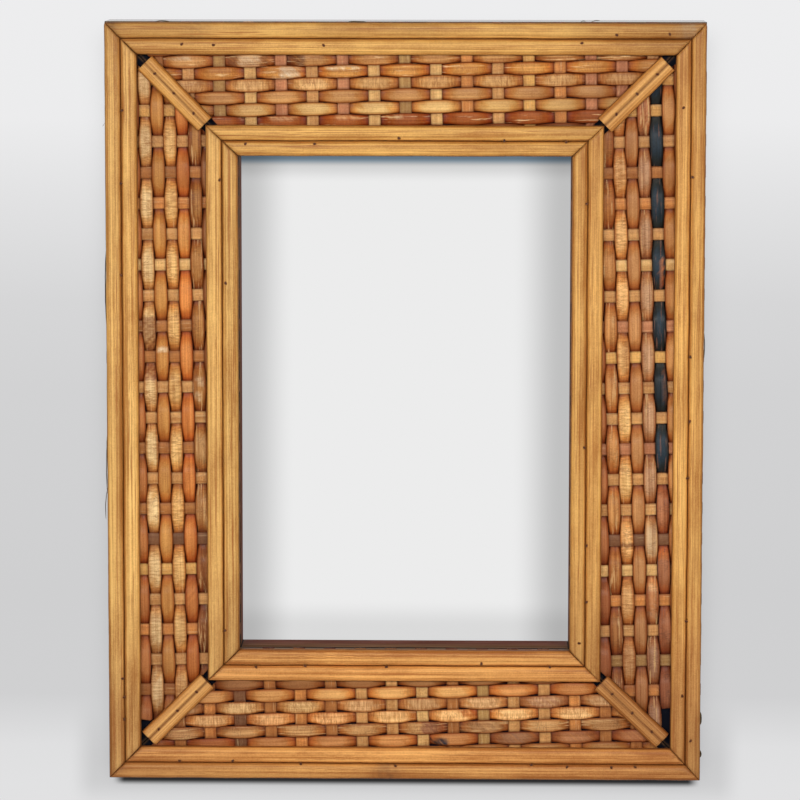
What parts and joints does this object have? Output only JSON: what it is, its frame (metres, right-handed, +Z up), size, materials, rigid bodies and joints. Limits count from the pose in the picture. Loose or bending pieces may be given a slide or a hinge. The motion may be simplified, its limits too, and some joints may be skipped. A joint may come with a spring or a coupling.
{
  "type": "picture frame",
  "caption": "Upright picture frame: mitred wooden base rails faced with a woven cane mat between paired half-round cane borders, with corner battens, rear rebate and turn buttons.",
  "frame": {"origin": "where the wall nail bears under the sawtooth hanger, on the plane of the rails' back faces", "axes": "+Z up the frame, -Y out of its front, +X to the right seen from the front"},
  "size_m": [0.202, 0.0285, 0.258],
  "materials": {
    "dark_lacquer": "dark brown-black lacquer, worn on the edges",
    "cane_honey": "split cane, satin varnish",
    "cane_straw": "split cane, pale, cracked bark",
    "cane_tan": "split cane, smooth bark",
    "cane_amber": "split cane, orange stain",
    "cane_brown": "split cane, dark orange-brown stain",
    "cane_olive": "split cane, olive brown",
    "cane_stained": "split cane, blue-black stain, worn",
    "brass": "dull lacquered brass",
    "steel": "dark, tarnished"
  },
  "bodies": {
    "frame": {"top_base_rail": "dark_lacquer", "right_base_rail": "dark_lacquer", "bottom_base_rail": "dark_lacquer", "left_base_rail": "dark_lacquer", "corner_fasteners": "steel", "top_cross_stakes": "cane_tan", "right_cross_stakes": "cane_tan", "bottom_cross_stakes": "cane_tan", "left_cross_stakes": "cane_tan", "top_weaver_1": "cane_tan", "top_weaver_2": "cane_amber", "top_weaver_3": "cane_straw", "top_weaver_4": "cane_tan", "top_weaver_5": "cane_straw", "top_weaver_6": "cane_brown", "right_weaver_1": "cane_amber", "right_weaver_2": "cane_stained", "right_weaver_3": "cane_olive", "right_weaver_4": "cane_tan", "right_weaver_5": "cane_straw", "right_weaver_6": "cane_tan", "bottom_weaver_1": "cane_amber", "bottom_weaver_2": "cane_olive", "bottom_weaver_3": "cane_straw", "bottom_weaver_4": "cane_straw", "bottom_weaver_5": "cane_amber", "bottom_weaver_6": "cane_olive", "left_weaver_1": "cane_straw", "left_weaver_2": "cane_tan", "left_weaver_3": "cane_straw", "left_weaver_4": "cane_amber", "left_weaver_5": "cane_brown", "edge_weavers": "cane_tan", "top_outer_border_outer_strip": "cane_honey", "top_outer_border_inner_strip": "cane_honey", "top_inner_border_outer_strip": "cane_honey", "top_inner_border_inner_strip": "cane_honey", "right_outer_border_outer_strip": "cane_honey", "right_outer_border_inner_strip": "cane_honey", "right_inner_border_outer_strip": "cane_honey", "right_inner_border_inner_strip": "cane_honey", "bottom_outer_border_outer_strip": "cane_honey", "bottom_outer_border_inner_strip": "cane_honey", "bottom_inner_border_outer_strip": "cane_honey", "bottom_inner_border_inner_strip": "cane_honey", "left_outer_border_outer_strip": "cane_honey", "left_outer_border_inner_strip": "cane_honey", "left_inner_border_outer_strip": "cane_honey", "left_inner_border_inner_strip": "cane_honey", "top_right_batten": "cane_honey", "bottom_right_batten": "cane_honey", "bottom_left_batten": "cane_honey", "top_left_batten": "cane_honey", "cane_pins": "steel", "button_screws": "steel", "sawtooth_hanger": "brass"},
    "top_turn_button": {"top_turn_button": "brass"},
    "right_turn_button": {"right_turn_button": "brass"},
    "bottom_turn_button": {"bottom_turn_button": "brass"},
    "left_turn_button": {"left_turn_button": "brass"}
  },
  "joints": [
    {"name": "top_button_turn", "type": "hinge", "parent": "frame", "child": "top_turn_button", "pos_m": [0, 0.0007, -0.02025], "axis": [0, 1, 0], "continuous": true},
    {"name": "right_button_turn", "type": "hinge", "parent": "frame", "child": "right_turn_button", "pos_m": [0.07125, 0.0007, -0.117], "axis": [0, 1, 0], "continuous": true},
    {"name": "bottom_button_turn", "type": "hinge", "parent": "frame", "child": "bottom_turn_button", "pos_m": [0, 0.0007, -0.21375], "axis": [0, 1, 0], "continuous": true},
    {"name": "left_button_turn", "type": "hinge", "parent": "frame", "child": "left_turn_button", "pos_m": [-0.07125, 0.0007, -0.117], "axis": [0, 1, 0], "continuous": true}
  ]
}
